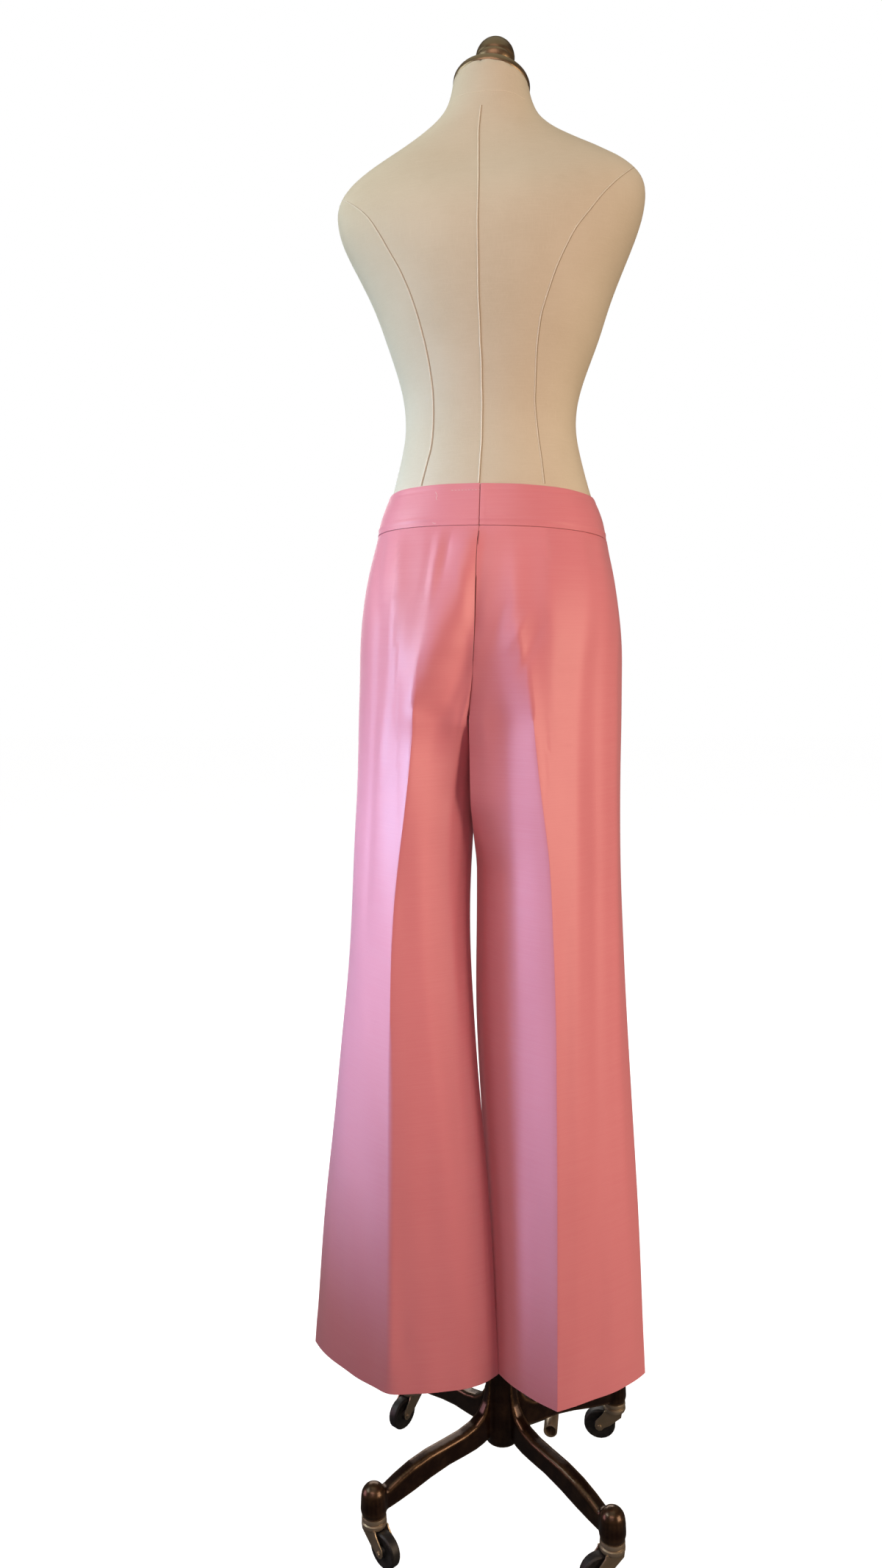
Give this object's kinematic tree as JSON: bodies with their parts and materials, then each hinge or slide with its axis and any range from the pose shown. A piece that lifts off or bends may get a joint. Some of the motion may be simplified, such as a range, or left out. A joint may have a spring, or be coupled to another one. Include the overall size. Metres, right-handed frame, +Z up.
{
  "type": "wide-leg trousers on a limbless dress form with its stand and wheeled base",
  "caption": "High-waisted wide-leg trousers with pressed creases, worn by a limbless dress form on a pole and a wheeled cast base.",
  "frame": {"origin": "middle of the bounding box on the floor; the pole stands 31 mm towards -X and 7 mm towards -Y of it", "axes": "+Z up, -Y the way the wearer faces, +X the wearer's left; the picture looks at the back, from +Y"},
  "size_m": [0.4622, 0.3302, 1.9613],
  "materials": {
    "trouser_cloth": "dusty pink satin-backed suiting, soft sheen, pressed",
    "form_linen": "natural linen stretched over a hard shell",
    "cap_bronze": "antique bronze, polished",
    "base_iron": "dark bronze enamel on cast iron",
    "pole_steel": "plated steel tube",
    "caster_brass": "antique brass",
    "wheel_rubber": "black moulded wheel"
  },
  "bodies": {
    "base": {"base_casting": "base_iron"},
    "form": {"form_torso": "form_linen", "neck_cap": "cap_bronze", "pole": "pole_steel", "back_leg_left": "trouser_cloth", "back_leg_right": "trouser_cloth", "front_leg_left": "trouser_cloth", "front_leg_right": "trouser_cloth", "waistband_back_left": "trouser_cloth", "waistband_back_right": "trouser_cloth", "waistband_front": "trouser_cloth"},
    "pedal": {"pedal": "base_iron"},
    "swivel_back_left": {"fork_back_left": "caster_brass"},
    "roller_back_left": {"wheel_back_left": "wheel_rubber"},
    "swivel_back_right": {"fork_back_right": "caster_brass"},
    "roller_back_right": {"wheel_back_right": "wheel_rubber"},
    "swivel_front_right": {"fork_front_right": "caster_brass"},
    "roller_front_right": {"wheel_front_right": "wheel_rubber"},
    "swivel_front_left": {"fork_front_left": "caster_brass"},
    "roller_front_left": {"wheel_front_left": "wheel_rubber"}
  },
  "joints": [
    {"name": "form_height", "type": "slide", "parent": "base", "child": "form", "axis": [0, 0, 1], "range_m": [-0.005, 0.1]},
    {"name": "pedal_hinge", "type": "hinge", "parent": "base", "child": "pedal", "pos_m": [-0.03715, -0.03832, 0.079], "axis": [0.6395, -0.7688, 0], "range_deg": [0, 10], "stiffness_Nm_per_rad": 3, "springref_deg": -5.73},
    {"name": "swivel_back_left", "type": "hinge", "parent": "base", "child": "swivel_back_left", "pos_m": [0.12688, 0.13249, 0.055], "axis": [0, 0, 1], "continuous": true},
    {"name": "roll_back_left", "type": "hinge", "parent": "swivel_back_left", "child": "roller_back_left", "pos_m": [0.10954, 0.14604, 0.0236], "axis": [-0.6157, -0.788, 0], "continuous": true},
    {"name": "swivel_back_right", "type": "hinge", "parent": "base", "child": "swivel_back_right", "pos_m": [-0.18918, 0.13249, 0.055], "axis": [0, 0, 1], "continuous": true},
    {"name": "roll_back_right", "type": "hinge", "parent": "swivel_back_right", "child": "roller_back_right", "pos_m": [-0.16975, 0.14282, 0.0236], "axis": [-0.4695, 0.8829, 0], "continuous": true},
    {"name": "swivel_front_right", "type": "hinge", "parent": "base", "child": "swivel_front_right", "pos_m": [-0.18918, -0.14713, 0.055], "axis": [0, 0, 1], "continuous": true},
    {"name": "roll_front_right", "type": "hinge", "parent": "swivel_front_right", "child": "roller_front_right", "pos_m": [-0.16719, -0.1479, 0.0236], "axis": [0.0349, 0.9994, 0], "continuous": true},
    {"name": "swivel_front_left", "type": "hinge", "parent": "base", "child": "swivel_front_left", "pos_m": [0.12688, -0.14713, 0.055], "axis": [0, 0, 1], "continuous": true},
    {"name": "roll_front_left", "type": "hinge", "parent": "swivel_front_left", "child": "roller_front_left", "pos_m": [0.13854, -0.12848, 0.0236], "axis": [-0.848, 0.5299, 0], "continuous": true}
  ]
}
